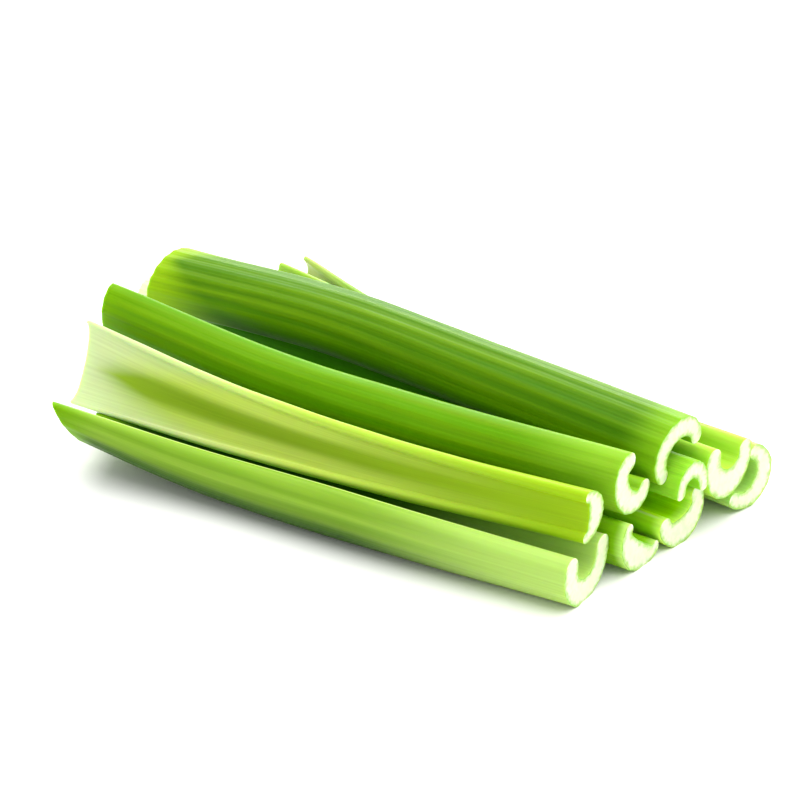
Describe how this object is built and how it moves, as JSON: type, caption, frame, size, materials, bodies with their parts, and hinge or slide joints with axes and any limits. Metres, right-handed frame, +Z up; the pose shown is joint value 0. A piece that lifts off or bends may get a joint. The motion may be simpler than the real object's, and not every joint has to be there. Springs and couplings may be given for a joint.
{
  "type": "head of celery cut into stalks",
  "caption": "Loose pile of trimmed celery stalks lying together, thick ribbed channels flared at their pale base ends and cut square at the other.",
  "frame": {"origin": "on the surface that the pile lies on, under the middle of its box", "axes": "+X along the stalks from their broad pale base ends to their cut upper ends, +Y from the front of the pile to its back, +Z up"},
  "size_m": [0.2886, 0.1914, 0.0595],
  "materials": {
    "front_skin": "satin waxy skin of a fresh light green stalk, finely ribbed",
    "low_near_skin": "satin waxy skin of a fresh green stalk, finely ribbed",
    "low_middle_skin": "satin waxy skin of a fresh green stalk, finely ribbed",
    "back_outer_skin": "satin waxy skin of a fresh light green stalk, finely ribbed",
    "back_inner_skin": "satin waxy skin of a fresh bright green stalk, finely ribbed",
    "pale_skin": "satin pale inner stalk, smooth channel, thin whitish wings at the base",
    "leaning_skin": "satin waxy skin of a fresh mid green stalk, finely ribbed",
    "nested_skin": "satin waxy skin of a fresh green stalk, finely ribbed",
    "top_skin": "satin waxy skin of a fresh dark green outer stalk, strongly ribbed"
  },
  "bodies": {
    "root": {"stalk_front": "front_skin", "stalk_low_near": "low_near_skin", "stalk_low_middle": "low_middle_skin", "stalk_back_outer": "back_outer_skin", "stalk_back_inner": "back_inner_skin", "stalk_pale": "pale_skin", "stalk_leaning": "leaning_skin", "stalk_nested": "nested_skin", "stalk_top": "top_skin"}
  },
  "joints": []
}
